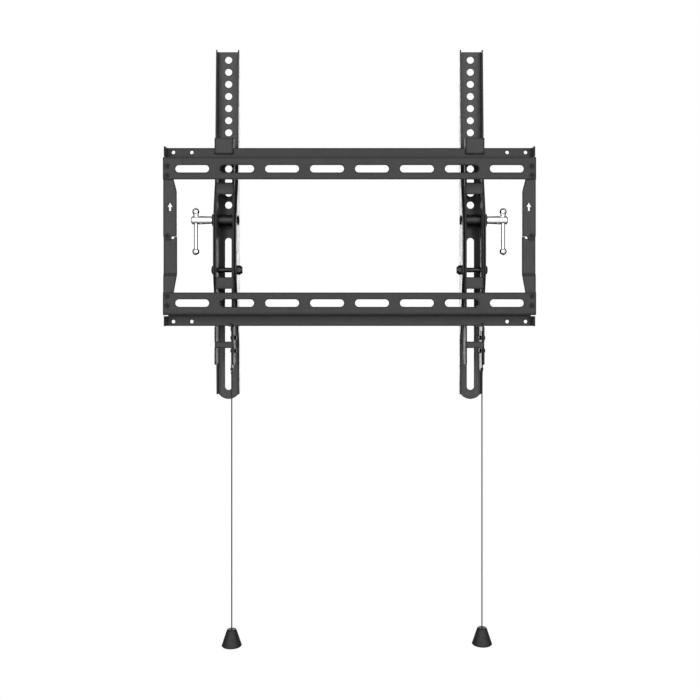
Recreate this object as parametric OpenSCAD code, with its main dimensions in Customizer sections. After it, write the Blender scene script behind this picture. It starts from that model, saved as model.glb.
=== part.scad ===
// Tilting wall mount for a flat television.
// The wall lies at Y = 0 and the television is on the +Y side. Z is up.
// The origin is the middle of the wall-fixing slots, on the wall surface.
// All sizes are in millimetres.

/* [Wall plate] */
// Overall width of the wall plate
plate_width = 440; // [400:10:520]
// Overall height over the two hook-on flanges
plate_height = 213; // [199:1:235]
// Free space between the wall and a hook-on flange
flange_standoff = 16; // [15:0.5:17]
// Sheet thickness of the rails and uprights
plate_sheet = 2; // [1.8:0.1:2.2]
// Height of each wall-fixing slot
wall_slot_height = 8.8; // [7:0.1:10]
// Width of each side upright
upright_width = 15.8; // [15:0.1:18]

/* [TV arms] */
// Distance between the centre lines of the two arms
arm_spacing = 300; // [240:10:320]
// Outer width of each arm
arm_width = 28.4; // [27.4:0.2:31]
// Sheet thickness of the arms
arm_sheet = 1.6; // [1.4:0.1:1.8]
// Distance from the wall to the face that meets the television
tv_face = 56; // [55:0.5:59]
// Number of round holes in the upper part of each arm
hole_count = 13; // [11:1:15]
// Distance between neighbouring round holes
hole_pitch = 15; // [13:0.5:16]
// Diameter of the round holes and width of the long slot
hole_diameter = 8.8; // [6:0.1:9.6]
// Length of the long slot in each arm
long_slot_length = 188.6; // [170:1:210]

/* [Hook brackets] */
// Sheet thickness of the hook brackets
bracket_sheet = 1.8; // [1.6:0.1:2]
// Height of the hook above the top flange
hook_rise = 11.5; // [8:0.5:14]

/* [Tilt] */
// Largest tilt of an arm in degrees
tilt_max = 8; // [4:0.5:8]
// Height of the clamp screw above the pivot bolt
clamp_rise = 61; // [57:0.5:64]

/* [Clamp handle] */
// Outside diameter of the threaded barrel
barrel_diameter = 10; // [9:0.2:11]
// Diameter of the sliding bar
bar_diameter = 5; // [4:0.1:5.4]
// Distance between the two ball centres of the bar
bar_span = 48.6; // [42:0.2:52]

/* [Latch and cord] */
// Travel of the latch plate when its cord is pulled
latch_travel = 7; // [5:0.5:7]
// Diameter of the pull cord
cord_diameter = 1.5; // [1.2:0.1:1.8]
// Largest diameter of the cord weight
weight_diameter = 24; // [20:1:28]
// Height of the cord weight
weight_height = 20; // [16:0.5:24]

/* [Hidden] */
$fn = 48;

plate_colour = [0.16, 0.16, 0.17];
bracket_colour = [0.13, 0.13, 0.14];
chrome_colour = [0.75, 0.76, 0.78];
oxide_colour = [0.07, 0.07, 0.07];
plastic_colour = [0.1, 0.1, 0.1];

// Wall plate
half_plate = plate_width / 2;
half_height = plate_height / 2;
flange_height = 13;
step_z = half_height - flange_height;
rail_edge_z = step_z - 26.8;
flange_back = flange_standoff + plate_sheet;
slots_per_rail = 8;
slot_pitch = (plate_width - 16) / slots_per_rail;
slot_length = slot_pitch - 13;
slot_z = half_height - 27.3;
lip_depth = flange_standoff - 5;
rivet_x = half_plate - 4.9;
rivet_zs = [half_height - 24.3, half_height - 35.3];
rivet_radius = 2;
through = 12;
flange_hole_insets = [9.2, 31.2];
flange_hole_diameter = 4.4;

// Arms
arm_x = arm_spacing / 2;
web_y = tv_face - arm_sheet;
first_hole_z = 42.6;
arm_top = first_hole_z + hole_pitch * (hole_count - 1) + 9.9;
slot_top_z = 1.9;
slot_bottom_z = slot_top_z - long_slot_length;
arm_bottom = slot_bottom_z - 11.2;
foot_radius = arm_width / 2 + 0.8;
leg_end = 6.4;
// Free edge of the legs as (Y, Z) points: upper part, wing round pivot and clamp, lower part.
leg_edge = [
  [41.7, 170], [39.7, 133], [37.2, 76], [35.8, 68.5], [32.3, 58.4],
  [28.4, 45.8], [24.6, 33.3], [21.2, 19], [20.3, 12], [20.2, 4], [20.2, -36],
  [20.8, -42], [22.4, -49], [26, -60], [30, -76], [38, -106], [42, -116.5],
  [45, -121.5], [46.2, -128], [46.6, -150]
];

// Bracket, measured from the middle of its own arm
side_gap = 1.2;
bracket_half = arm_width / 2 - arm_sheet - side_gap;
plate_in = bracket_half - bracket_sheet;
bracket_front = flange_back + 0.3;
hook_front = flange_standoff - 3.6;
hook_top = half_height + hook_rise;
hook_low = half_height - 7.3;
under_flange = -half_height - 1.3;
lower_front = flange_standoff - 2;
tail_z = under_flange - 45.2;
bend = bracket_sheet + 0.8;

// Tilt
pivot_y = 29;
pivot_z = -39;
clamp_y = 36;
clamp_z = pivot_z + clamp_rise;
bolt_radius = 3;
clamp_angle = atan((clamp_y - pivot_y) / clamp_rise);
clamp_reach = sqrt(pow(clamp_y - pivot_y, 2) + pow(clamp_rise, 2));
arc_half_width = 3.4;

// Latch, measured from the middle of its own arm
latch_sheet = 1.4;
latch_out = plate_in - 0.1;
latch_in = latch_out - latch_sheet;
latch_mid = (latch_out + latch_in) / 2;
nose_top = -half_height + 3.2;
rivet_y = 25;
latch_rivet_zs = [under_flange - 13.2, under_flange - 28.8];
latch_foot = tail_z - 7;
cord_y = 18;
spring_y = 24;
spring_top = -half_height + 21.5;
hook_z = -half_height - 0.7;
wire = 0.8;
coil_radius = 2.1;
coil_turns = 13;
coil_steps = 8;

// Cords: height of the upper end below the foot of the latch, and of the lower end.
knot_low = latch_foot - 5.3;
left_cord_end = -470;
right_cord_end = -468;
cord_rings = 79;
cord_sides = 8;

// Shared shapes

// Extrudes an outline drawn as (Y, Z) along X, from x0 to x1.
module along_x(x0, x1) {
  translate([x0, 0, 0])
    rotate([90, 0, 90])
      linear_extrude(x1 - x0)
        children();
}

// Extrudes an outline drawn as (X, Z) along Y, from y0 to y1.
module along_y(y0, y1) {
  translate([0, y1, 0])
    rotate([90, 0, 0])
      linear_extrude(y1 - y0)
        children();
}

// Turns a solid of revolution about Z so that its axis points along +X.
module on_x() {
  rotate([0, 90, 0])
    children();
}

// Turns a solid of revolution about Z so that its axis points along +Y.
module on_y() {
  rotate([-90, 0, 0])
    children();
}

// Quarter of a bent sheet: centre (cx, cy), in the quadrant given by the signs.
module quarter_bend(cx, cy, outer, sheet, sx, sy) {
  intersection() {
    translate([cx, cy])
      difference() {
        circle(r = outer);
        circle(r = outer - sheet);
      }
    translate([sx > 0 ? cx : cx - outer, sy > 0 ? cy : cy - outer])
      square([outer, outer]);
  }
}

// Rounded slot outline centred on the origin, lying along X.
module slot_outline(length, width) {
  square([length - width, width], center = true);
  for (s = [-1, 1])
    translate([s * (length - width) / 2, 0])
      circle(d = width);
}

// Ring of points round a path point, in the plane of the two given directions.
function ring(p, u, v, r, n) = [for (k = [0 : n - 1]) p + r * (cos(360 * k / n) * u + sin(360 * k / n) * v)];

function unit(v) = v / norm(v);

// Faces of a closed tube of m rings with n points each.
function tube_faces(m, n) = concat(
  [[for (k = [0 : n - 1]) k]],
  [for (i = [0 : m - 2]) for (k = [0 : n - 1])
    [i * n + k, (i + 1) * n + k, (i + 1) * n + (k + 1) % n]],
  [for (i = [0 : m - 2]) for (k = [0 : n - 1])
    [i * n + k, (i + 1) * n + (k + 1) % n, i * n + (k + 1) % n]],
  [[for (k = [0 : n - 1]) m * n - 1 - k]]
);

// Moves a piece of one arm unit to its own side.
module at_arm(side) {
  translate([side * arm_x, 0, 0])
    children();
}

// Moves a piece to its side and turns it so that its outboard end faces outwards.
module outboard(side) {
  at_arm(side)
    if (side > 0)
      children();
    else
      mirror([1, 0, 0])
        children();
}

// Wall plate

// Cross-section of the top rail in (Y, Z): web on the wall, step, then flange.
module rail_section() {
  outer = plate_sheet + 1;
  translate([0, rail_edge_z])
    square([plate_sheet, step_z - outer - rail_edge_z]);
  quarter_bend(outer, step_z - outer, outer, plate_sheet, -1, 1);
  translate([outer, step_z - plate_sheet])
    square([flange_back - 2 * outer, plate_sheet]);
  quarter_bend(flange_back - outer, step_z - plate_sheet + outer, outer, plate_sheet, 1, -1);
  translate([flange_standoff, step_z - plate_sheet + outer])
    square([plate_sheet, half_height - step_z + plate_sheet - outer]);
}

// Plan view of one end of the flange in (X, Y): the lip is bent back to the wall.
module lip_plan() {
  outer = plate_sheet + 1;
  quarter_bend(half_plate - outer, flange_back - outer, outer, plate_sheet, 1, 1);
  translate([half_plate - plate_sheet, flange_standoff - lip_depth])
    square([plate_sheet, flange_back - outer - flange_standoff + lip_depth]);
}

module rail() {
  outer = plate_sheet + 1;
  difference() {
    union() {
      along_x(-half_plate, half_plate)
        intersection() {
          rail_section();
          translate([-1, rail_edge_z - 1])
            square([plate_sheet + 3, half_height]);
        }
      along_x(-half_plate + outer, half_plate - outer)
        rail_section();
      for (s = [0, 1])
        mirror([s, 0, 0])
          translate([0, 0, step_z + 1.2])
            linear_extrude(half_height - step_z - 1.2)
              lip_plan();
    }
    for (i = [0 : slots_per_rail - 1])
      translate([(i - (slots_per_rail - 1) / 2) * slot_pitch, 0, slot_z])
        along_y(-1, plate_sheet + 1)
          slot_outline(slot_length, wall_slot_height);
    for (s = [-1, 1]) {
      for (dx = flange_hole_insets)
        translate([s * (half_plate - dx), flange_standoff - 1, half_height - 5.2])
          on_y()
            cylinder(d = flange_hole_diameter, h = plate_sheet + 2);
      for (z = rivet_zs)
        translate([s * rivet_x, 0, z])
          rivet_hole();
    }
  }
}

module top_rail() {
  color(plate_colour)
    rail();
}

module bottom_rail() {
  color(plate_colour)
    mirror([0, 0, 1])
      rail();
}

// Hole for a rivet, with a shallow countersink at Y = 0.
module rivet_hole() {
  translate([0, -1, 0])
    on_y()
      cylinder(r = rivet_radius + 0.05, h = through);
  translate([0, -0.01, 0])
    on_y()
      cylinder(r1 = rivet_radius + 0.7, r2 = rivet_radius + 0.05, h = 0.9);
}

// Semi-tubular rivet: hollow flared end at Y = 0, round head behind two sheets.
module plate_rivet() {
  on_y()
    rotate_extrude()
      polygon([
        [1.1, 0.1], [2.5, 0.1], [rivet_radius, 0.85], [rivet_radius, 2 * plate_sheet],
        [3.8, 2 * plate_sheet], [3.8, 2 * plate_sheet + 0.5], [3, 2 * plate_sheet + 1.1],
        [1.6, 2 * plate_sheet + 1.5], [0, 2 * plate_sheet + 1.6], [0, 2], [1.1, 1.6]
      ]);
}

// Upper upright, left side: lies behind the top rail and over the lower upright.
module upper_upright() {
  inner_x = -half_plate + upright_width;
  mark_x = -half_plate + 8;
  difference() {
    union() {
      along_y(plate_sheet, 2 * plate_sheet)
        polygon([
          [-half_plate, 0], [-half_plate, step_z - 6], [inner_x - 4.4, step_z - 6],
          [inner_x - 3.5, rail_edge_z], [inner_x, rail_edge_z - 14],
          [inner_x, -0.5], [-half_plate + 9, -0.5], [-half_plate + 9, 0]
        ]);
      translate([-half_plate + 5, plate_sheet, 0])
        on_y()
          cylinder(r = 4.9, h = plate_sheet);
    }
    for (z = rivet_zs)
      translate([-rivet_x, 0, z])
        on_y()
          cylinder(r = rivet_radius + 0.05, h = through);
    translate([-half_plate + 5, plate_sheet, 0])
      rivet_hole();
    along_y(0, through)
      polygon([
        [mark_x, 39.8], [mark_x - 3.1, 34.3], [mark_x - 1.3, 34.3], [mark_x - 1.3, 29.6],
        [mark_x + 1.3, 29.6], [mark_x + 1.3, 34.3], [mark_x + 3.1, 34.3]
      ]);
  }
}

// Lower upright, left side: joggled so that its upper end laps behind the other.
module lower_upright() {
  inner_x = -half_plate + upright_width;
  low = -step_z + 6;
  difference() {
    intersection() {
      along_x(-half_plate - 1, inner_x + 1)
        polygon([
          [2 * plate_sheet, 6], [3 * plate_sheet, 6], [3 * plate_sheet, -45.2],
          [2 * plate_sheet, -47.6], [2 * plate_sheet, low], [plate_sheet, low],
          [plate_sheet, -46.8], [2 * plate_sheet, -44.4]
        ]);
      along_y(0, through)
        union() {
          polygon([
            [-half_plate, 0], [-half_plate, low], [inner_x - 4.4, low],
            [inner_x - 3.5, -rail_edge_z], [inner_x, -47],
            [inner_x, -0.8], [inner_x - 3, -0.8], [inner_x - 3.8, -3.2],
            [-half_plate + 8.6, -3.2], [-half_plate + 8.6, 0]
          ]);
          translate([-half_plate + 5, 0])
            circle(r = 4.9);
        }
    }
    for (z = rivet_zs)
      translate([-rivet_x, 0, -z])
        on_y()
          cylinder(r = rivet_radius + 0.05, h = through);
    translate([-half_plate + 5, 0, 0])
      on_y()
        cylinder(r = rivet_radius + 0.05, h = through);
  }
}

module left_upper_upright() {
  color(plate_colour)
    upper_upright();
}

module right_upper_upright() {
  color(plate_colour)
    mirror([1, 0, 0])
      upper_upright();
}

module left_lower_upright() {
  color(plate_colour)
    lower_upright();
}

module right_lower_upright() {
  color(plate_colour)
    mirror([1, 0, 0])
      lower_upright();
}

module rail_rivets(side) {
  color(oxide_colour)
    for (m = [-1, 1])
      for (z = rivet_zs)
        translate([side * rivet_x, 0, m * z])
          plate_rivet();
}

module left_rail_rivets() {
  rail_rivets(-1);
}

module right_rail_rivets() {
  rail_rivets(1);
}

module lap_rivet(side) {
  color(oxide_colour)
    translate([side * (half_plate - 5), plate_sheet, 0])
      plate_rivet();
}

module left_lap_rivet() {
  lap_rivet(-1);
}

module right_lap_rivet() {
  lap_rivet(1);
}

// Arms

// Channel section in plan (X, Y): web on the television side, legs to the wall.
module arm_section() {
  outer = arm_sheet + 1.2;
  half = arm_width / 2;
  translate([-(half - outer), web_y])
    square([2 * (half - outer), arm_sheet]);
  for (s = [-1, 1]) {
    quarter_bend(s * (half - outer), tv_face - outer, outer, arm_sheet, s, 1);
    translate([s > 0 ? half - arm_sheet : -half, 16])
      square([arm_sheet, tv_face - outer - 16]);
  }
}

// Side view (Y, Z) of an arm: shallow legs with a deep wing round pivot and clamp.
module arm_side() {
  polygon(concat(
    [[45.2, arm_top]],
    leg_edge,
    [[48.5, arm_bottom], [tv_face + 1, arm_bottom], [tv_face + 1, arm_top]]
  ));
}

// Front view (X, Z) of an arm: square top, square leg ends, rounded foot of the web.
module arm_front() {
  translate([-arm_width / 2, arm_bottom + leg_end])
    square([arm_width, arm_top - arm_bottom - leg_end]);
  translate([0, arm_bottom + foot_radius])
    circle(r = foot_radius);
}

// Arc slot swept by the clamp screw when the arm tilts.
module tilt_slot_outline() {
  a0 = clamp_angle + 0.25;
  a1 = clamp_angle - tilt_max - 0.25;
  reach = clamp_reach * 1.2;
  translate([pivot_y, pivot_z]) {
    intersection() {
      difference() {
        circle(r = clamp_reach + arc_half_width, $fn = 180);
        circle(r = clamp_reach - arc_half_width, $fn = 180);
      }
      polygon([[0, 0], [reach * sin(a1), reach * cos(a1)], [reach * sin(a0), reach * cos(a0)]]);
    }
    for (a = [a0, a1])
      translate([clamp_reach * sin(a), clamp_reach * cos(a)])
        circle(r = arc_half_width);
  }
}

module tv_arm() {
  difference() {
    intersection() {
      translate([0, 0, arm_bottom])
        linear_extrude(arm_top - arm_bottom)
          arm_section();
      along_x(-arm_width, arm_width)
        arm_side();
      along_y(0, tv_face + 2)
        arm_front();
    }
    for (i = [0 : hole_count - 1])
      translate([0, web_y - 1, first_hole_z + i * hole_pitch])
        on_y()
          cylinder(d = hole_diameter, h = arm_sheet + 2);
    translate([0, 0, (slot_top_z + slot_bottom_z) / 2])
      along_y(web_y - 1, tv_face + 1)
        rotate(90)
          slot_outline(long_slot_length, hole_diameter);
    translate([-arm_width, pivot_y, pivot_z])
      on_x()
        cylinder(r = bolt_radius + 0.05, h = 2 * arm_width);
    along_x(-arm_width, arm_width)
      tilt_slot_outline();
  }
}

module left_tv_arm() {
  color(plate_colour)
    at_arm(-1)
      tv_arm();
}

module right_tv_arm() {
  color(plate_colour)
    at_arm(1)
      tv_arm();
}

// Hook brackets

// Side view (Y, Z) of a bracket plate: hook on top, notch for each flange, tail.
module bracket_side() {
  difference() {
    union() {
      polygon([
        [hook_front, hook_low + 1], [hook_front + 1, hook_low], [flange_standoff - 0.4, hook_low],
        [flange_standoff - 0.4, half_height + 0.1], [bracket_front, half_height + 0.1],
        [bracket_front, under_flange], [lower_front, under_flange], [lower_front, tail_z + 2],
        [lower_front + 2, tail_z], [31, tail_z], [35, tail_z + 6],
        [35, hook_top - 8], [32, hook_top - 2], [29, hook_top], [hook_front, hook_top]
      ]);
      translate([clamp_y, clamp_z])
        circle(r = 8.4);
      translate([pivot_y, pivot_z])
        circle(r = 8);
    }
    translate([clamp_y, clamp_z])
      circle(r = bolt_radius + 0.1);
    translate([pivot_y, pivot_z])
      circle(r = bolt_radius + 0.1);
  }
}

// Strips joining the two plates: [front face Y, lower Z, upper Z].
strips = [
  [hook_front, hook_low, hook_top],
  [bracket_front, half_height - 55, half_height - 41],
  [bracket_front, -half_height + 44.5, -half_height + 58.5],
  [lower_front, under_flange - 25.1, under_flange - 17.3]
];

// Strip with its two bends, seen in plan (X, Y) and starting at Y = 0.
module strip_plan() {
  translate([-(bracket_half - bend), 0])
    square([2 * (bracket_half - bend), bracket_sheet]);
  for (s = [-1, 1])
    quarter_bend(s * (bracket_half - bend), bend, bend, bracket_sheet, s, -1);
}

module hook_bracket() {
  difference() {
    union() {
      difference() {
        for (s = [0, 1])
          mirror([s, 0, 0])
            along_x(plate_in, bracket_half)
              bracket_side();
        for (p = strips)
          translate([-bracket_half - 1, p[0] - 1, p[1]])
            cube([2 * bracket_half + 2, bend + 1, p[2] - p[1]]);
      }
      for (p = strips)
        translate([0, p[0], p[1]])
          linear_extrude(p[2] - p[1])
            strip_plan();
    }
    for (z = latch_rivet_zs)
      translate([plate_in - 1, rivet_y, z])
        on_x()
          cylinder(r = rivet_radius + 0.05, h = bracket_sheet + 2);
    translate([plate_in - 1, spring_y, spring_top])
      on_x()
        cylinder(r = wire / 2 + 0.4, h = bracket_sheet + 2);
  }
}

module left_hook_bracket() {
  color(bracket_colour)
    at_arm(-1)
      hook_bracket();
}

module right_hook_bracket() {
  color(bracket_colour)
    at_arm(1)
      hook_bracket();
}

// Pivot

// Button-head bolt, head outboard.
module pivot_bolt() {
  half = arm_width / 2;
  translate([0, pivot_y, pivot_z])
    difference() {
      union() {
        translate([-half - 6.4, 0, 0])
          on_x()
            cylinder(r = bolt_radius, h = 2 * half + 6.5);
        translate([half + 0.1, 0, 0])
          on_x()
            rotate_extrude()
              polygon([[0, 0], [5.6, 0], [5.6, 0.8], [4.9, 1.9], [3.6, 2.6], [2, 2.9], [0, 2.9]]);
      }
      translate([half + 1.4, 0, 0])
        on_x()
          cylinder(d = 4, h = 3, $fn = 6);
    }
}

// Self-locking hexagon nut, inboard.
module pivot_nut() {
  half = arm_width / 2;
  translate([-half - 6.1, pivot_y, pivot_z])
    on_x()
      difference() {
        union() {
          translate([0, 0, 1.6])
            intersection() {
              cylinder(d = 11.5, h = 4.4, $fn = 6);
              cylinder(r1 = 4.9, r2 = 9.3, h = 4.4);
            }
          cylinder(r1 = 4.2, r2 = 4.8, h = 1.6);
        }
        translate([0, 0, -1])
          cylinder(r = bolt_radius + 0.02, h = 9);
      }
}

// Pair of plain washers in the side gaps of a bolt.
module gap_washers(y, z, bore) {
  for (s = [-1, 1])
    translate([s > 0 ? bracket_half + 0.05 : -bracket_half - side_gap + 0.1, y, z])
      on_x()
        difference() {
          cylinder(r = 6.5, h = side_gap - 0.15);
          translate([0, 0, -1])
            cylinder(r = bore, h = 4);
        }
}

module left_pivot_bolt() {
  color(oxide_colour)
    outboard(-1)
      pivot_bolt();
}

module right_pivot_bolt() {
  color(oxide_colour)
    outboard(1)
      pivot_bolt();
}

module left_pivot_nut() {
  color(oxide_colour)
    outboard(-1)
      pivot_nut();
}

module right_pivot_nut() {
  color(oxide_colour)
    outboard(1)
      pivot_nut();
}

module left_pivot_washers() {
  color(oxide_colour)
    at_arm(-1)
      gap_washers(pivot_y, pivot_z, bolt_radius + 0.1);
}

module right_pivot_washers() {
  color(oxide_colour)
    at_arm(1)
      gap_washers(pivot_y, pivot_z, bolt_radius + 0.1);
}

// Tilt clamp

barrel_start = arm_width / 2 + 2.9;
barrel_length = 25.4;
bar_x = barrel_start + 20;
bar_rest = barrel_diameter / 2 + 5.4;

// Round-head screw, head inboard, its end inside the barrel.
module clamp_screw() {
  half = arm_width / 2;
  translate([0, clamp_y, clamp_z]) {
    translate([-half - 0.2, 0, 0])
      on_x()
        cylinder(r = bolt_radius, h = 2 * half + 14);
    mirror([1, 0, 0])
      translate([half + 0.1, 0, 0])
        on_x()
          rotate_extrude()
            polygon([[0, 0], [6.2, 0], [6.2, 0.5], [5.2, 1.2], [3.4, 1.7], [0, 1.9]]);
  }
}

// Tube that keeps the two bracket plates apart under the clamp.
module clamp_spacer() {
  translate([-plate_in + 0.05, clamp_y, clamp_z])
    on_x()
      difference() {
        cylinder(r = 7, h = 2 * plate_in - 0.1);
        translate([0, 0, -1])
          cylinder(r = bolt_radius + 0.1, h = 2 * plate_in + 2);
      }
}

// Thick washer between the barrel and the arm.
module clamp_end_washer() {
  translate([arm_width / 2 + 0.1, clamp_y, clamp_z])
    on_x()
      difference() {
        cylinder(r = 7.5, h = 2.7);
        translate([0, 0, -1])
          cylinder(r = bolt_radius + 0.1, h = 5);
      }
}

// Threaded barrel with a cross hole for the sliding bar.
module clamp_barrel() {
  r = barrel_diameter / 2;
  translate([barrel_start, clamp_y, clamp_z])
    difference() {
      on_x()
        rotate_extrude()
          polygon([
            [0, 0], [r - 0.5, 0], [r, 0.5], [r, barrel_length - 1.2],
            [r - 1.2, barrel_length], [0, barrel_length]
          ]);
      translate([-1, 0, 0])
        on_x()
          cylinder(r = bolt_radius + 0.05, h = 15.5);
      translate([bar_x - barrel_start, 0, -20])
        cylinder(d = bar_diameter + 0.1, h = 40);
    }
}

// Sliding bar with a ball on each end and a collar under the top ball.
module clamp_bar() {
  translate([bar_x, clamp_y, clamp_z + bar_rest - bar_span]) {
    cylinder(d = bar_diameter, h = bar_span);
    sphere(r = 4.5);
    translate([0, 0, bar_span])
      sphere(r = 4.5);
    translate([0, 0, bar_span - 5.3])
      cylinder(d = bar_diameter + 1.6, h = 2.2);
  }
}

module left_clamp_screw() {
  color(oxide_colour)
    outboard(-1)
      clamp_screw();
}

module right_clamp_screw() {
  color(oxide_colour)
    outboard(1)
      clamp_screw();
}

module left_clamp_spacer() {
  color(oxide_colour)
    at_arm(-1)
      clamp_spacer();
}

module right_clamp_spacer() {
  color(oxide_colour)
    at_arm(1)
      clamp_spacer();
}

module left_clamp_washers() {
  color(oxide_colour)
    at_arm(-1)
      gap_washers(clamp_y, clamp_z, bolt_radius + 0.1);
}

module right_clamp_washers() {
  color(oxide_colour)
    at_arm(1)
      gap_washers(clamp_y, clamp_z, bolt_radius + 0.1);
}

module left_clamp_end_washer() {
  color(oxide_colour)
    outboard(-1)
      clamp_end_washer();
}

module right_clamp_end_washer() {
  color(oxide_colour)
    outboard(1)
      clamp_end_washer();
}

module left_clamp_barrel() {
  color(chrome_colour)
    outboard(-1)
      clamp_barrel();
}

module right_clamp_barrel() {
  color(chrome_colour)
    outboard(1)
      clamp_barrel();
}

module left_clamp_bar() {
  color(chrome_colour)
    outboard(-1)
      clamp_bar();
}

module right_clamp_bar() {
  color(chrome_colour)
    outboard(1)
      clamp_bar();
}

// Latch

// Side view (Y, Z) of the latch plate: nose in front of the flange, cord foot.
module latch_side() {
  front = lower_front + bracket_sheet + 1;
  nose = flange_standoff - 3.8;
  difference() {
    polygon([
      [nose, nose_top - 1], [nose + 1, nose_top], [flange_standoff - 0.4, nose_top],
      [flange_standoff - 0.4, -half_height - 0.9], [flange_back + 1, -half_height - 0.9],
      [flange_back + 1, nose_top - 0.6], [29, nose_top - 0.6], [34, nose_top - 5],
      [34, latch_foot + 2], [32, latch_foot], [lower_front + 2, latch_foot],
      [lower_front, latch_foot + 2], [lower_front, tail_z - 0.6], [front, tail_z - 0.6],
      [front, -half_height - 5.9], [nose, -half_height - 5.9]
    ]);
    for (z = latch_rivet_zs)
      translate([rivet_y, z + latch_travel / 2 + 0.1])
        rotate(90)
          slot_outline(latch_travel + 4.8, 4.4);
    translate([spring_y, hook_z])
      circle(r = wire / 2 + 0.4);
    translate([cord_y, latch_foot + 3.1])
      circle(r = 1.3);
  }
}

module latch_plate() {
  along_x(latch_in, latch_out)
    latch_side();
}

// Guide rivet: head inside against the latch, tail outside the bracket plate.
module latch_rivet() {
  on_x()
    rotate_extrude()
      polygon([
        [0, latch_in - 1.8], [1.8, latch_in - 1.7], [2.8, latch_in - 1], [2.8, latch_in - 0.1],
        [rivet_radius, latch_in - 0.1], [rivet_radius, bracket_half], [2.8, bracket_half],
        [2.8, bracket_half + 1.2], [2, bracket_half + 2.2], [0, bracket_half + 2.5]
      ]);
}

// Path of the spring wire: hooked through the bracket plate, coil, hooked
// through the latch plate.
coil_x = latch_in - 2.8;
coil_top = spring_top - 3;
coil_low = hook_z + 4;
spring_path = concat(
  [[bracket_half + 0.4, spring_y, spring_top], [plate_in - 0.6, spring_y, spring_top],
   [coil_x + coil_radius + 0.7, spring_y, spring_top - 0.2],
   [coil_x + coil_radius + 0.1, spring_y, spring_top - 1]],
  [for (i = [0 : coil_turns * coil_steps + coil_steps / 2])
    [coil_x + coil_radius * cos(360 * i / coil_steps),
     spring_y + coil_radius * sin(360 * i / coil_steps),
     coil_top + (coil_low - coil_top) * i / (coil_turns * coil_steps + coil_steps / 2)]],
  [[coil_x - coil_radius, spring_y, hook_z + 1.2], [coil_x - coil_radius + 0.4, spring_y, hook_z + 0.3],
   [coil_x - coil_radius + 1.2, spring_y, hook_z], [latch_out - 0.1, spring_y, hook_z]]
);

// Direction of a path at point i.
function heading(path, i) = unit(path[min(i + 1, len(path) - 1)] - path[max(i - 1, 0)]);

module latch_spring() {
  n = 6;
  frames = [for (i = [0 : len(spring_path) - 1])
    let (t = heading(spring_path, i), p = spring_path[i] - [coil_x, spring_y, 0],
         flat = norm([p[0], p[1]]),
         out = (i > 3 && i < len(spring_path) - 4) ? [p[0] / flat, p[1] / flat, 0] : [0, 1, 0],
         v = unit(cross(t, out)), u = cross(v, t))
    [u, v]];
  polyhedron(
    points = [for (i = [0 : len(spring_path) - 1])
      each ring(spring_path[i], frames[i][0], frames[i][1], wire / 2, n)],
    faces = tube_faces(len(spring_path), n)
  );
}

module left_latch_plate() {
  color(bracket_colour)
    at_arm(-1)
      latch_plate();
}

module right_latch_plate() {
  color(bracket_colour)
    at_arm(1)
      latch_plate();
}

module latch_rivets(side) {
  color(oxide_colour)
    at_arm(side)
      for (z = latch_rivet_zs)
        translate([0, rivet_y, z])
          latch_rivet();
}

module left_latch_rivets() {
  latch_rivets(-1);
}

module right_latch_rivets() {
  latch_rivets(1);
}

module left_latch_spring() {
  color(chrome_colour)
    at_arm(-1)
      latch_spring();
}

module right_latch_spring() {
  color(chrome_colour)
    at_arm(1)
      latch_spring();
}

// Cord and weight

// Tied end of the cord: a loop through the foot of the latch, and the knot.
module cord_knot() {
  translate([latch_mid, cord_y, 0]) {
    translate([0, 0, latch_foot + 0.25])
      rotate([90, 0, 0])
        rotate_extrude()
          translate([2.3, 0])
            circle(d = 1.4, $fn = 24);
    translate([0, 0, knot_low])
      rotate_extrude()
        polygon([[0, 0], [1, 0], [1.4, 0.7], [1.5, 1.6], [1.3, 2.6], [1, 3.3], [0, 3.3]]);
  }
}

// Straight hanging cord from the knot down to the weight.
module cord(low) {
  x = latch_mid;
  polyhedron(
    points = [for (i = [0 : cord_rings])
      each ring([x, cord_y, knot_low + (low - knot_low) * i / cord_rings],
                [1, 0, 0], [0, -1, 0], cord_diameter / 2, cord_sides)],
    faces = tube_faces(cord_rings + 1, cord_sides)
  );
}

module cord_weight(top) {
  r = weight_diameter / 2;
  translate([latch_mid, cord_y, top - weight_height])
    rotate_extrude()
      polygon([
        [0, 0], [r - 0.8, 0], [r, 0.9], [r * 0.48, weight_height - 0.6],
        [r * 0.48 - 0.8, weight_height], [0, weight_height]
      ]);
}

module left_cord_knot() {
  color(plastic_colour)
    at_arm(-1)
      cord_knot();
}

module right_cord_knot() {
  color(plastic_colour)
    at_arm(1)
      cord_knot();
}

module left_pull_cord() {
  color(plastic_colour)
    at_arm(-1)
      cord(left_cord_end);
}

module right_pull_cord() {
  color(plastic_colour)
    at_arm(1)
      cord(right_cord_end);
}

module left_cord_weight() {
  color(plastic_colour)
    at_arm(-1)
      cord_weight(left_cord_end);
}

module right_cord_weight() {
  color(plastic_colour)
    at_arm(1)
      cord_weight(right_cord_end);
}

// What is drawn

top_rail();
bottom_rail();
left_upper_upright();
left_lower_upright();
right_upper_upright();
right_lower_upright();
left_rail_rivets();
right_rail_rivets();
left_lap_rivet();
right_lap_rivet();
left_tv_arm();
right_tv_arm();
left_hook_bracket();
right_hook_bracket();
left_pivot_bolt();
right_pivot_bolt();
left_pivot_nut();
right_pivot_nut();
left_pivot_washers();
right_pivot_washers();
left_clamp_screw();
right_clamp_screw();
left_clamp_spacer();
right_clamp_spacer();
left_clamp_washers();
right_clamp_washers();
left_clamp_end_washer();
right_clamp_end_washer();
left_clamp_barrel();
right_clamp_barrel();
left_clamp_bar();
right_clamp_bar();
left_latch_plate();
right_latch_plate();
left_latch_rivets();
right_latch_rivets();
left_latch_spring();
right_latch_spring();
left_cord_knot();
right_cord_knot();
left_pull_cord();
right_pull_cord();
left_cord_weight();
right_cord_weight();
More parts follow.
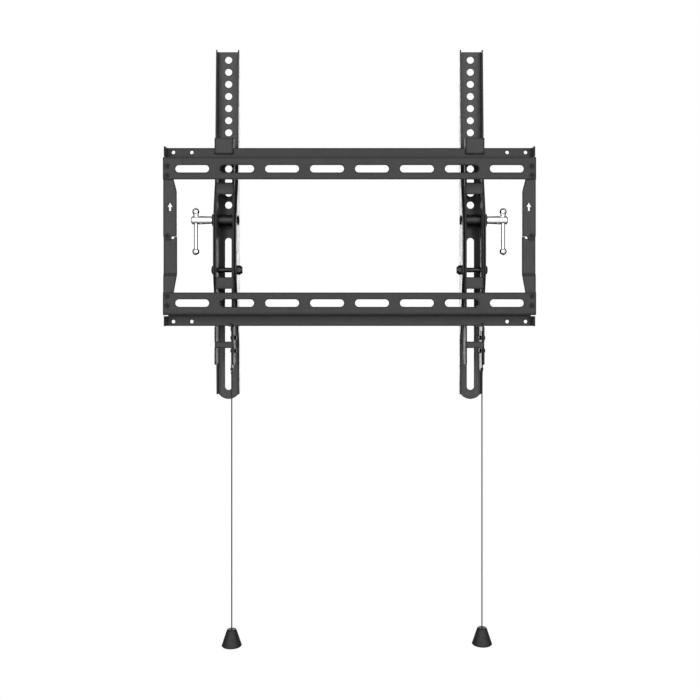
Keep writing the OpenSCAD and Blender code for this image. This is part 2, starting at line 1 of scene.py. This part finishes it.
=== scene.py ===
# %% [markdown]
# # A tilting wall mount for a flat television
# The mount is folded from black powder-coated steel sheet. A slotted frame is screwed to
# the wall, two perforated arms are screwed to the television, and hook brackets hang the
# arms on the frame. The metal parts come ready made from the CAD model, in metres, and
# are never moved here. This script gives them their finishes, makes the pull cords, and
# lights and frames the picture.
#
# The first step loads the fixed metal parts and keeps the box that they fill, so that
# the finished model can be compared with it at the end.

# %% Load the metal parts
import math

import bmesh
import bpy
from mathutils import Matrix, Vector


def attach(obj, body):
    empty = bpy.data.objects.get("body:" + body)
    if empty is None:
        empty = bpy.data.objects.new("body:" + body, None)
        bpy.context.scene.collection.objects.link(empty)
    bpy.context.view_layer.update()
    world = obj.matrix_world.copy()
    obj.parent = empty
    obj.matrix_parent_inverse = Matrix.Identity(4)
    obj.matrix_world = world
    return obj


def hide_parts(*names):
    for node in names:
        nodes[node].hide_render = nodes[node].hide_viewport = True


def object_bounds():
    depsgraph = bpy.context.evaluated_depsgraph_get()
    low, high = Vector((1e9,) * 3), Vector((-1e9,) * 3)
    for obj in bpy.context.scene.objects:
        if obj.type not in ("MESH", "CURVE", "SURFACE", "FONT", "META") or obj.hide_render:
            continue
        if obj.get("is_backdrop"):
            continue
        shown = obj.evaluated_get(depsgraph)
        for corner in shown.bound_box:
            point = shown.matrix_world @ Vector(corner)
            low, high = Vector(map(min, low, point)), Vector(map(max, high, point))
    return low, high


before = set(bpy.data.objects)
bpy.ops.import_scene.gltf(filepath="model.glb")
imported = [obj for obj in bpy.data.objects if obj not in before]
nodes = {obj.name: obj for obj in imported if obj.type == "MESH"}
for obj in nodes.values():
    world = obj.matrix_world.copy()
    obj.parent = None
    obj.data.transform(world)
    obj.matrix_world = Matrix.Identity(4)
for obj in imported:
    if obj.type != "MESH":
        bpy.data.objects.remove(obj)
cad_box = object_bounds()
MM = 0.001
SIDES = ("left", "right")
print(len(nodes), "metal parts, box", [round(v, 4) for v in cad_box[1] - cad_box[0]])

# %% [markdown]
# ## The camera
# The photograph looks straight at the side that faces the wall, with the lens level and
# a little below the middle of the frame. Its distance was worked out from how much
# smaller the far arms look than the near rails. A shifted lens keeps the uprights
# parallel, as a product photographer would, so the camera isn't turned at all.

# %% Set up the camera
PICTURE = 700
FOCAL_PIXELS = 868.97
OPTICAL_CENTRE = (349.5, 308.0)
SENSOR = 36.0
CAMERA_PLACE = (0, -1024 * MM, -85 * MM)

camera_data = bpy.data.cameras.new("product_camera")
camera_data.sensor_width = SENSOR
camera_data.lens = SENSOR * FOCAL_PIXELS / PICTURE
camera_data.shift_x = (PICTURE / 2 - OPTICAL_CENTRE[0]) / PICTURE
camera_data.shift_y = (OPTICAL_CENTRE[1] - PICTURE / 2) / PICTURE
camera = bpy.data.objects.new("product_camera", camera_data)
camera.location = CAMERA_PLACE
camera.rotation_euler = (math.radians(90), 0, 0)
bpy.context.scene.collection.objects.link(camera)
bpy.context.scene.camera = camera
bpy.context.scene.view_settings.view_transform = "Standard"
print("lens", round(camera_data.lens, 2), "mm, shift", round(camera_data.shift_y, 3))

# %% [markdown]
# ## The pull cords
# Each latch is let go by a thin braided polyester cord with a weight on its end. The
# photograph shows both cords from end to end, so their length is what it shows. A cord
# could be a smooth tube, but braid is what the eye reads as cord, so here each tube's
# skin is raised where a strand passes over and sunk where it dips under its neighbour.
# Eight strands wind one way and eight the other, as on a real round braid.

# %% Lay out the two cords
CORD_DIAMETER = 1.5 * MM
CORD_Y = 18 * MM
KNOT_Z = -165.3 * MM
CORD_PLACES = {"left": (-141.2 * MM, -470 * MM), "right": (158.8 * MM, -468 * MM)}
for side, (cord_x, cord_end) in CORD_PLACES.items():
    print(side, "cord", round(KNOT_Z - cord_end, 4), "m long")

# %% [markdown]
# The same braid is used for the cords and, thinner, for the loops that hold them, so one
# function weaves it along any path, with one ring of points after another.

# %% Weave a braided tube along a path
STRANDS = 8
BRAID_PITCH = 6.5 * MM
BRAID_SIDES = 24
print(2 * STRANDS, "strands, which come round once in", BRAID_PITCH / MM, "mm")


def braid_height(angle, along):
    """Height of the braid's skin from 0 to 1 at an angle round the cord and a distance along it."""
    turn = 2 * math.pi * along / BRAID_PITCH
    one = STRANDS * (angle + turn) / 2
    other = STRANDS * (angle - turn) / 2
    over = 0.5 + 0.5 * math.sin(one) * math.sin(other)
    return max(abs(math.cos(one)) * (0.5 + 0.5 * over), abs(math.cos(other)) * (1 - 0.5 * over))


def braided_tube(name, points, radius, ring_step):
    """Mesh tube that follows the points, with a braided skin and closed ends."""
    lengths = [0.0]
    for a, b in zip(points, points[1:]):
        lengths.append(lengths[-1] + (b - a).length)
    count = max(2, int(lengths[-1] / ring_step))
    rings = []
    mesh = bmesh.new()
    side_way = Vector((0, 1, 0))
    piece = 0
    for i in range(count + 1):
        along = lengths[-1] * i / count
        while piece < len(points) - 2 and lengths[piece + 1] < along:
            piece += 1
        a, b = points[piece], points[piece + 1]
        share = (along - lengths[piece]) / (lengths[piece + 1] - lengths[piece])
        centre = a.lerp(b, share)
        heading = (b - a).normalized()
        across = (side_way - heading * side_way.dot(heading)).normalized()
        up = heading.cross(across)
        side_way = across
        ring = []
        for k in range(BRAID_SIDES):
            angle = 2 * math.pi * k / BRAID_SIDES
            skin = radius * (0.9 + 0.1 * braid_height(angle, along))
            ring.append(mesh.verts.new(centre + skin * (math.cos(angle) * across + math.sin(angle) * up)))
        rings.append(ring)
    for low, high in zip(rings, rings[1:]):
        for k in range(BRAID_SIDES):
            n = (k + 1) % BRAID_SIDES
            mesh.faces.new((low[k], low[n], high[n], high[k])).smooth = True
    mesh.faces.new(rings[0][::-1])
    mesh.faces.new(rings[-1])
    bmesh.ops.recalc_face_normals(mesh, faces=mesh.faces)
    data = bpy.data.meshes.new(name)
    mesh.to_mesh(data)
    mesh.free()
    made = bpy.data.objects.new(name, data)
    bpy.context.scene.collection.objects.link(made)
    return made


# %% [markdown]
# Each cord is tied through a hole in the foot of its latch: a loop goes up one side of the
# plate and down the other, and its ends are wound tight below it. A plain bead could stand
# for the knot, but two and a half turns of the same braid look tied.

# %% Tie a loop and a knot through the foot of each latch
HOLE_Z = -156.9 * MM
LOOP_RADIUS = 0.5 * MM
LOOP_HALF_WIDTH = 1.3 * MM
LOOP_RISE = 0.9 * MM
LOOP_FOOT = 0.4 * MM
LOOP_STEPS = 24
LOOP_RING_STEP = 0.2 * MM
KNOT_TURNS = 2.5
KNOT_WINDING = 0.7 * MM
KNOT_HEIGHT = 3.0 * MM
KNOT_STEPS = 40


def tied_loop(name, x):
    """Loop through the latch's hole, and the winding that closes it, as one length of braid."""
    loop = []
    for i in range(LOOP_STEPS + 1):
        turn = math.pi * (i / LOOP_STEPS - 0.5)
        height = HOLE_Z - LOOP_RISE + LOOP_RISE * math.cos(turn)
        loop.append(Vector((LOOP_HALF_WIDTH * math.sin(turn), 0, height)))
    knot_top = KNOT_Z + KNOT_HEIGHT
    route = [Vector((-LOOP_FOOT, 0, knot_top))] + loop + [Vector((LOOP_FOOT, 0, knot_top))]
    for i in range(KNOT_STEPS + 1):
        turn = 2 * math.pi * KNOT_TURNS * i / KNOT_STEPS
        drop = (KNOT_HEIGHT - LOOP_RADIUS) * i / KNOT_STEPS
        across, out = KNOT_WINDING * math.cos(turn), KNOT_WINDING * math.sin(turn)
        route.append(Vector((across, out, knot_top - drop)))
    middle = Vector((x, CORD_Y, 0))
    return braided_tube(name, [p + middle for p in route], LOOP_RADIUS, LOOP_RING_STEP)


# %% Hang the cords
CORD_STEPS = 20
CORD_RING_STEP = 0.3 * MM
cords, knots = {}, {}
for side, (cord_x, cord_end) in CORD_PLACES.items():
    route = [
        Vector((cord_x, CORD_Y, KNOT_Z + (cord_end - KNOT_Z) * i / CORD_STEPS))
        for i in range(CORD_STEPS + 1)
    ]
    cord = braided_tube(side + "_braided_cord", route, CORD_DIAMETER / 2, CORD_RING_STEP)
    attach(cord, side + "_latch")
    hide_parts(side + "_pull_cord")
    knot = knots[side] = tied_loop(side + "_tied_loop", cord_x)
    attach(knot, side + "_latch")
    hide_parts(side + "_cord_knot")
    cords[side] = cord
    print(cord.name, len(cord.data.polygons), "faces")

# %% [markdown]
# ## The stems of the latches
# A narrow strip of each latch runs up beside its bracket plate, past the pivot bolt. It is
# flat sheet cut to an outline, so the outline is drawn once, from the side, and given the
# thickness of the latch. It is kept shallow, to stay clear of the hook of the spring.

# %% Cut the two stems
# Corners of the stem in (Y, Z), in millimetres.
STEM_OUTLINE = [
    (21.0, -103.9), (21.0, 10.3), (22.2, 11.5), (22.4, 11.5),
    (23.2, 10.3), (23.2, -101.3), (24.8, -103.9),
]
LATCH_FACES = (8.1 * MM, 9.5 * MM)
ARM_X = {"left": -150 * MM, "right": 150 * MM}
stems = []
for side in SIDES:
    mesh = bmesh.new()
    near, far = [
        [mesh.verts.new((ARM_X[side] + face_x, y * MM, z * MM)) for y, z in STEM_OUTLINE]
        for face_x in LATCH_FACES
    ]
    mesh.faces.new(near)
    mesh.faces.new(far[::-1])
    for i in range(len(near)):
        mesh.faces.new((near[i - 1], near[i], far[i], far[i - 1]))
    bmesh.ops.recalc_face_normals(mesh, faces=mesh.faces)
    data = bpy.data.meshes.new(side + "_latch_stem")
    mesh.to_mesh(data)
    mesh.free()
    stem = bpy.data.objects.new(side + "_latch_stem", data)
    bpy.context.scene.collection.objects.link(stem)
    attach(stem, side + "_latch")
    stems.append(stem)
print(len(stems), "stems,", round(STEM_OUTLINE[2][1] - STEM_OUTLINE[0][1], 1), "mm high")

# %% [markdown]
# ## A small kit for finishes
# Every finish here is worked out from a point's place on the part, in metres, so it needs
# no picture files and no unwrapping, and a grain of half a millimetre is simply written
# as half a millimetre. The helpers below only save typing: each adds one kind of node and
# joins it to the others.

# %% Helpers that build a finish
# How far a softened direction still agrees with the true one where the painted edge shade
# starts, and where it is at its full strength.
RIM_START = 0.995
RIM_FULL = 0.965


class Finish:
    """A material that starts from one shader, with short ways to add what changes over the surface."""

    def __init__(self, name, **plain):
        self.material = bpy.data.materials.new(name)
        self.material.use_nodes = True
        self.tree = self.material.node_tree
        self.shader = self.tree.nodes["Principled BSDF"]
        for socket, value in plain.items():
            self.shader.inputs[socket.replace("_", " ")].default_value = value
        self.place = self.add("ShaderNodeTexCoord").outputs["Object"]

    def add(self, kind, **settings):
        node = self.tree.nodes.new(kind)
        for key, value in settings.items():
            setattr(node, key, value)
        return node

    def join(self, source, target):
        self.tree.links.new(source, target)

    def noise(self, size, detail=2.0, stretch=(1, 1, 1)):
        """Cloudy pattern whose blotches measure about size metres; a stretch over 1 lengthens them."""
        mapping = self.add("ShaderNodeMapping")
        mapping.inputs["Scale"].default_value = [1 / (size * s) for s in stretch]
        self.join(self.place, mapping.inputs["Vector"])
        node = self.add("ShaderNodeTexNoise")
        node.inputs["Scale"].default_value = 1.0
        node.inputs["Detail"].default_value = detail
        self.join(mapping.outputs["Vector"], node.inputs["Vector"])
        return node.outputs["Fac"]

    def grains(self, size):
        """Rounded grains about size metres across, as distance from each grain's middle."""
        node = self.add("ShaderNodeTexVoronoi", feature="SMOOTH_F1")
        node.inputs["Scale"].default_value = 1 / size
        node.inputs["Smoothness"].default_value = 0.6
        self.join(self.place, node.inputs["Vector"])
        return node.outputs["Distance"]

    def rings(self, centre, pitch):
        """Fine turning marks round the line along X through centre, given as (y, z)."""
        mapping = self.add("ShaderNodeMapping")
        mapping.inputs["Location"].default_value = (0, -centre[0], -centre[1])
        mapping.inputs["Scale"].default_value = (0, 1, 1)
        self.join(self.place, mapping.inputs["Vector"])
        node = self.add("ShaderNodeTexWave", wave_type="RINGS", rings_direction="SPHERICAL")
        node.inputs["Scale"].default_value = 0.314 / pitch
        node.inputs["Distortion"].default_value = 1.5
        node.inputs["Detail"].default_value = 2.0
        self.join(mapping.outputs["Vector"], node.inputs["Vector"])
        return node.outputs["Fac"]

    def spread(self, source, low, high, low_out, high_out):
        """Carries source from the span low..high over to low_out..high_out."""
        node = self.add("ShaderNodeMapRange")
        for key, value in zip(("From Min", "From Max", "To Min", "To Max"), (low, high, low_out, high_out)):
            node.inputs[key].default_value = value
        self.join(source, node.inputs["Value"])
        return node.outputs["Result"]

    def blend_colour(self, share, one, other):
        node = self.add("ShaderNodeMix", data_type="RGBA")
        self.join(share, node.inputs["Factor"])
        for socket, colour in (("A", one), ("B", other)):
            target = [i for i in node.inputs if i.name == socket and i.type == "RGBA"][0]
            if isinstance(colour, (tuple, list)):
                target.default_value = (*colour, 1)
            else:
                self.join(colour, target)
        return [o for o in node.outputs if o.type == "RGBA"][0]

    def colour(self, source):
        self.join(source, self.shader.inputs["Base Color"])

    def roughness(self, source):
        self.join(source, self.shader.inputs["Roughness"])

    def painted_rim_shade_mask(self, radius):
        """Mask of the painted edge shade: 0 on flat sheet, rising to 1 within about radius metres of a cut
        or folded edge.
        """
        bevel = self.add("ShaderNodeBevel", samples=6)
        bevel.inputs["Radius"].default_value = radius
        turn = self.add("ShaderNodeVectorMath", operation="DOT_PRODUCT")
        self.join(bevel.outputs["Normal"], turn.inputs[0])
        self.join(self.add("ShaderNodeNewGeometry").outputs["True Normal"], turn.inputs[1])
        return self.spread(turn.outputs["Value"], RIM_START, RIM_FULL, 0, 1)

    def relief(self, *layers, edge=0.0):
        """Raises the surface by (pattern, height, strength) layers and rounds its edges, in metres."""
        normal = None
        if edge:
            bevel = self.add("ShaderNodeBevel", samples=6)
            bevel.inputs["Radius"].default_value = edge
            normal = bevel.outputs["Normal"]
        for pattern, height, strength in layers:
            bump = self.add("ShaderNodeBump")
            bump.inputs["Distance"].default_value = height
            bump.inputs["Strength"].default_value = strength
            self.join(pattern, bump.inputs["Height"])
            if normal is not None:
                self.join(normal, bump.inputs["Normal"])
            normal = bump.outputs["Normal"]
        self.join(normal, self.shader.inputs["Normal"])


def wear(finish, *names):
    """Puts a finish on CAD nodes, in every material slot that they have."""
    for name in names:
        data = nodes[name].data
        data.materials.clear()
        data.materials.append(finish.material)
    print(finish.material.name, "on", len(names), "parts")


# %% [markdown]
# ## Powder coat on the sheet metal
# The rails, uprights, arms and brackets are sprayed with dry powder and baked. That skin
# is near black, dull, and covered in tiny rounded grains, with a slow orange-peel wave
# under them. It is also thick enough to round off the cut edges of the sheet. All three
# are cheap to describe as patterns, while real geometry for half-millimetre grains would
# need millions of faces, so the grain is relief and the edges are softened in the shader.
# The coat is also painted darker close to its edges, where the photograph shows them dark:
# a painted shade for rounded edges and folds, which turn away to darker surroundings. The
# greys of rails, uprights, arms and brackets are picked to meet the photograph, as lit and
# shaded copies of one coat, painted lighter or darker for how the light falls on each part.

# %% Powder coat
# Painted shade near cut and folded edges: the coat's colour falls to a tenth of its dark grey.
PAINTED_RIM_WIDTH = 3.0 * MM
PAINTED_RIM_SHADE = 0.1
PIT_SHADE = 0.55


def powder_coat(name, dark, light, rough, gloss):
    """Fine-textured powder coat between two near-black greys, with painted shade where it turns over an
    edge.
    """
    coat = Finish(name, IOR=1.5, Specular_IOR_Level=gloss)
    cloud = coat.noise(24 * MM, detail=3)
    speck = coat.grains(0.55 * MM)
    tone = coat.blend_colour(coat.spread(cloud, 0.35, 0.65, 0, 1), dark, light)
    pit = [PIT_SHADE * c for c in dark]
    grainy = coat.blend_colour(coat.spread(speck, 0.45, 0.8, 0, 0.5), tone, pit)
    # Painted shade: the grainy colour is blended towards a tenth of the dark grey near edges.
    coat.colour(coat.blend_colour(coat.painted_rim_shade_mask(PAINTED_RIM_WIDTH), grainy, [PAINTED_RIM_SHADE * c for c in dark]))
    coat.roughness(coat.spread(coat.noise(9 * MM), 0.3, 0.7, rough - 0.04, rough + 0.05))
    coat.relief(
        (coat.noise(5 * MM, detail=1), 0.12 * MM, 0.1),
        (speck, 0.1 * MM, 0.14),
        edge=0.6 * MM,
    )
    return coat


# Lit and shaded copies of one coat: the uprights and brackets are painted lighter and the arms darker than
# the rails, for how the light falls on each part.
rail_coat = powder_coat(
    "rail_powder_coat", (0.056, 0.056, 0.057), (0.064, 0.064, 0.065), rough=0.5, gloss=0.2)
wear(rail_coat, "top_rail", "bottom_rail")
upright_coat = powder_coat(
    "upright_powder_coat", (0.066, 0.066, 0.067), (0.074, 0.074, 0.075), rough=0.5, gloss=0.2)
wear(upright_coat, *[f"{side}_{half}_upright" for side in SIDES for half in ("upper", "lower")])
arm_coat = powder_coat(
    "arm_powder_coat", (0.047, 0.047, 0.048), (0.055, 0.055, 0.056), rough=0.33, gloss=0.35)
wear(arm_coat, *[side + "_tv_arm" for side in SIDES])
bracket_coat = powder_coat(
    "bracket_powder_coat", (0.068, 0.068, 0.069), (0.076, 0.076, 0.077), rough=0.48, gloss=0.2)
wear(bracket_coat, *[side + "_hook_bracket" for side in SIDES])
latch_coat = powder_coat(
    "latch_powder_coat", (0.006, 0.006, 0.006), (0.01, 0.01, 0.01), rough=0.3, gloss=0.3)
wear(latch_coat, *[side + "_latch_plate" for side in SIDES])
for stem in stems:
    stem.data.materials.append(latch_coat.material)

# %% [markdown]
# ## Black zinc on the bolts, washers and rivets
# Fasteners are plated, not painted, so they stay metal: dark, smoother than the coat, and
# with the marks of the lathe or the heading tool. The marks run in rings round each
# screw's own line, so the pivot and the clamp each get a finish centred on themselves.

# %% Plated fasteners
def black_zinc(name, dark, light, centre=None):
    """Dark plated steel between two greys; centre (y, z) adds turning marks round a line along X."""
    zinc = Finish(name, Metallic=1.0)
    cloud = zinc.noise(3 * MM, detail=4)
    zinc.colour(zinc.blend_colour(cloud, (dark, dark, 1.05 * dark), (light, light, 1.05 * light)))
    zinc.roughness(zinc.spread(cloud, 0.3, 0.7, 0.28, 0.42))
    layers = [(zinc.noise(0.6 * MM), 0.02 * MM, 0.2)]
    if centre:
        layers.append((zinc.rings(centre, 0.3 * MM), 0.02 * MM, 0.25))
    zinc.relief(*layers, edge=0.2 * MM)
    return zinc


PIVOT = (29 * MM, -39 * MM)
CLAMP = (36 * MM, 22 * MM)
pivot_zinc = black_zinc("pivot_black_zinc", 0.02, 0.045, PIVOT)
wear(pivot_zinc, *[f"{side}_pivot_{piece}" for side in SIDES for piece in ("bolt", "nut", "washers")])
clamp_zinc = black_zinc("clamp_black_zinc", 0.024, 0.05, CLAMP)
wear(clamp_zinc, *[
    f"{side}_clamp_{piece}" for side in SIDES for piece in ("screw", "washers", "end_washer", "spacer")
])
rivet_zinc = black_zinc("rivet_black_zinc", 0.012, 0.026)
wear(rivet_zinc, *[
    f"{side}_{piece}" for side in SIDES for piece in ("rail_rivets", "lap_rivet", "latch_rivets")
])

# %% [markdown]
# ## Chrome on the clamp handles, and the spring wire
# The barrel and its sliding bar are the only bright parts. Chrome has almost no colour of
# its own and shows its surroundings, so its look comes mostly from the lights. What it
# needs here is a very low roughness that isn't perfectly even, and faint polishing lines.
# The latch springs are taken as plain drawn wire, greyer and rougher than the chrome.

# %% Chrome plate and spring wire
chrome = Finish("chrome_plate", Metallic=1.0)
chrome.colour(chrome.blend_colour(chrome.noise(2 * MM), (0.86, 0.865, 0.875), (0.92, 0.922, 0.928)))
chrome.roughness(chrome.spread(chrome.noise(1.5 * MM, detail=4), 0.3, 0.7, 0.02, 0.05))
polish = chrome.noise(0.25 * MM, detail=1, stretch=(12, 1, 1))
chrome.relief((polish, 0.001 * MM, 0.2), edge=0.15 * MM)
wear(chrome, *[f"{side}_clamp_{piece}" for side in SIDES for piece in ("barrel", "bar")])

wire = Finish("spring_wire", Metallic=1.0)
wire.colour(wire.blend_colour(wire.noise(1 * MM), (0.42, 0.42, 0.43), (0.56, 0.56, 0.57)))
wire.roughness(wire.spread(wire.noise(0.4 * MM), 0.3, 0.7, 0.2, 0.34))
wire.relief((wire.noise(0.2 * MM), 0.01 * MM, 0.3))
wear(wire, *[side + "_latch_spring" for side in SIDES])

# %% [markdown]
# ## Cord and moulded weights
# The braid's shape is already in the cord's mesh, so its finish only adds what is finer:
# the lie of the filaments, a soft sheen and a slightly paler fuzz. The weights are moulded
# in black plastic with the fine spark-eroded grain of the mould, duller than the metal.

# %% Braid and plastic
braid = Finish("cord_braid", Sheen_Weight=0.1, Sheen_Roughness=0.4, Specular_IOR_Level=0.2)
fuzz = braid.noise(0.5 * MM, detail=3)
braid.colour(braid.blend_colour(fuzz, (0.012, 0.012, 0.013), (0.032, 0.032, 0.034)))
braid.roughness(braid.spread(braid.noise(1 * MM), 0.3, 0.7, 0.68, 0.85))
braid.relief((braid.noise(0.12 * MM, stretch=(1, 1, 3)), 0.03 * MM, 0.5))
for cord in [*cords.values(), *knots.values()]:
    cord.data.materials.append(braid.material)

plastic = Finish("weight_plastic", Specular_IOR_Level=0.3)
cloud = plastic.noise(6 * MM, detail=3)
moulded = plastic.blend_colour(cloud, (0.021, 0.021, 0.022), (0.029, 0.029, 0.03))
# Painted shade: the weight's colour falls to near black at its edges and chamfers, as on the powder coat.
plastic.colour(plastic.blend_colour(plastic.painted_rim_shade_mask(PAINTED_RIM_WIDTH), moulded, (0.004, 0.004, 0.004)))
plastic.roughness(plastic.spread(plastic.noise(4 * MM), 0.3, 0.7, 0.5, 0.6))
plastic.relief((plastic.grains(0.35 * MM), 0.04 * MM, 0.3), edge=0.4 * MM)
wear(plastic, *[side + "_cord_weight" for side in SIDES])

# %% [markdown]
# ## The studio
# The photograph has a pure white surround and no wall, so the world is white to the
# camera and to reflections, and a plain grey to everything that it lights.

# %% White world
WORLD_LIGHT = 0.15
WORLD_SEEN = 1.0
world = bpy.data.worlds.new("studio")
bpy.context.scene.world = world
world.use_nodes = True
sky = world.node_tree
plain = sky.nodes["Background"]
plain.inputs["Color"].default_value = (1, 1, 1, 1)
plain.inputs["Strength"].default_value = WORLD_LIGHT
bright = sky.nodes.new("ShaderNodeBackground")
bright.inputs["Color"].default_value = (1, 1, 1, 1)
bright.inputs["Strength"].default_value = WORLD_SEEN
rays = sky.nodes.new("ShaderNodeLightPath")
seen = sky.nodes.new("ShaderNodeMath")
seen.operation = "MAXIMUM"
clear = sky.nodes.new("ShaderNodeMath")
clear.operation = "MAXIMUM"
pick = sky.nodes.new("ShaderNodeMixShader")
sky.links.new(rays.outputs["Is Camera Ray"], seen.inputs[0])
sky.links.new(rays.outputs["Is Glossy Ray"], seen.inputs[1])
sky.links.new(seen.outputs[0], clear.inputs[0])
sky.links.new(rays.outputs["Is Transmission Ray"], clear.inputs[1])
sky.links.new(clear.outputs[0], pick.inputs[0])
sky.links.new(plain.outputs[0], pick.inputs[1])
sky.links.new(bright.outputs[0], pick.inputs[2])
sky.links.new(pick.outputs[0], sky.nodes["World Output"].inputs["Surface"])
print("world", WORLD_SEEN, "to the camera and to mirrors,", WORLD_LIGHT, "to what it lights")

# %% [markdown]
# ### Lamps
# Two soft lamps on the camera's side light the flat faces evenly, and two more light the
# mount from behind. A lamp would show in the chrome as a hard white patch, also where a
# board hides it, so the lamps behind are left out of all reflections.

# %% Four soft lamps
# Place of the right-hand lamp, width, height and power. The left-hand lamp mirrors it.
LAMPS = {
    "front": ((1.2, -2.6, 0.45), 1.6, 2.4, 32),
    "rear": ((0.9, 2.3, 0.2), 1.7, 1.7, 34),
}


def softbox(name, place, width, height, power):
    """Soft lamp at place, facing the middle of the mount; reflections don't show one behind it."""
    data = bpy.data.lights.new(name, "AREA")
    data.shape = "RECTANGLE"
    data.size = width
    data.size_y = height
    data.energy = power
    lamp = bpy.data.objects.new(name, data)
    lamp.location = place
    lamp.rotation_euler = (-Vector(place)).to_track_quat("-Z", "Y").to_euler()
    lamp.visible_camera = False
    lamp.visible_glossy = place[1] < 0
    bpy.context.scene.collection.objects.link(lamp)


for row, ((x, *rest), width, height, power) in LAMPS.items():
    for name, way in (("left", -1), ("right", 1)):
        softbox(f"{row}_{name}_lamp", (way * x, *rest), width, height, power)
    print("two", row, "lamps of", power, "watts")

# %% [markdown]
# ### Boards and cards
# Bright metal is drawn by what it mirrors. The sides of the arms are seen at a glancing
# angle, so a glowing card behind the mount shows in them as bright lines, and a dim card
# lies below. Black boards to the left, right, top and bottom give the chrome its dark
# rings. All of them are seen by reflections only, and light or shade nothing.

# %% Black boards and glowing cards
velvet = Finish("black_velvet", Base_Color=(0.004, 0.004, 0.004, 1), Roughness=0.95, Specular_IOR_Level=0.0)
velvet.relief((velvet.noise(3 * MM), 0.2 * MM, 0.1))


def board(name, finish, *corners):
    """Board between four corners, seen by nothing but reflections."""
    data = bpy.data.meshes.new(name)
    data.from_pydata(corners, [], [range(len(corners))])
    data.materials.append(finish.material)
    made = bpy.data.objects.new(name, data)
    made.visible_camera = made.visible_diffuse = False
    made.visible_shadow = made.visible_transmission = False
    bpy.context.scene.collection.objects.link(made)
    made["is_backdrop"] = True


def glowing_card(name, strength):
    """White card that glows in reflections, and isn't used as a lamp."""
    finish = Finish(name, Base_Color=(0, 0, 0, 1), Roughness=1.0, Emission_Color=(1, 1, 1, 1))
    finish.shader.inputs["Emission Strength"].default_value = strength
    finish.material.cycles.emission_sampling = "NONE"
    return finish


for name, x in (("left", -1), ("right", 1)):
    board(
        name + "_flag", velvet,
        (0.45 * x, 1.6, -1.2), (0.45 * x, 1.6, 1.6), (1.5 * x, -0.3, 1.6), (1.5 * x, -0.3, -1.2),
    )
for name, near, far in (("top", 0.9, 1.6), ("bottom", -0.9, -1.2)):
    board(
        name + "_flag", velvet,
        (-1.5, 1.6, near), (1.5, 1.6, near), (1.5, 0.2, far), (-1.5, 0.2, far),
    )

board(
    "rear_card", glowing_card("white_card", strength=3.5),
    (-1.8, 2.2, -1.2), (1.8, 2.2, -1.2), (1.8, 2.2, 1.2), (-1.8, 2.2, 1.2),
)
board(
    "lower_card", glowing_card("grey_card", strength=0.35),
    (-1.5, 0.2, -1.2), (1.5, 0.2, -1.2), (1.5, -1.2, -1.2), (-1.5, -1.2, -1.2),
)
print("four black boards and two glowing cards, seen only in reflections")

# %% [markdown]
# ### Floor
# The floor is far below the mount and only catches a soft shadow. It glows a little, and
# more to the camera and to mirrors, so that it melts into the white surround.

# %% Pale floor
FLOOR_Z = -1.25
FLOOR_RADIUS = 1.45
FLOOR_GLOW = 0.15
FLOOR_GLOW_SEEN = 0.72
floor_mesh = bmesh.new()
bmesh.ops.create_circle(floor_mesh, cap_ends=True, segments=96, radius=FLOOR_RADIUS)
bmesh.ops.translate(floor_mesh, verts=floor_mesh.verts, vec=(0, 0, FLOOR_Z))
floor_data = bpy.data.meshes.new("floor")
floor_mesh.to_mesh(floor_data)
floor_mesh.free()
floor = bpy.data.objects.new("floor", floor_data)
bpy.context.scene.collection.objects.link(floor)
floor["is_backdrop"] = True
matt = Finish("floor_paper", Base_Color=(0.32, 0.32, 0.32, 1), Roughness=0.9, Specular_IOR_Level=0.0)
matt.relief((matt.noise(4 * MM), 0.1 * MM, 0.1))
paths = matt.add("ShaderNodeLightPath")
glow = matt.add("ShaderNodeMath", operation="MAXIMUM")
matt.join(paths.outputs["Is Camera Ray"], glow.inputs[0])
matt.join(paths.outputs["Is Glossy Ray"], glow.inputs[1])
matt.shader.inputs["Emission Color"].default_value = (1, 1, 1, 1)
strength = matt.spread(glow.outputs[0], 0, 1, FLOOR_GLOW, FLOOR_GLOW_SEEN)
matt.join(strength, matt.shader.inputs["Emission Strength"])
floor_data.materials.append(matt.material)
print("floor at", FLOOR_Z, "m")

# %% [markdown]
# ## Compare the finished model with the metal parts
# Both boxes are compared, and how much the looks made the object grow is printed.

# %% Compare the sizes
seen_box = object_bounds()
cad_size, seen_size = cad_box[1] - cad_box[0], seen_box[1] - seen_box[0]
print("grown by", [round((b - a) / MM, 2) for a, b in zip(cad_size, seen_size)], "mm")
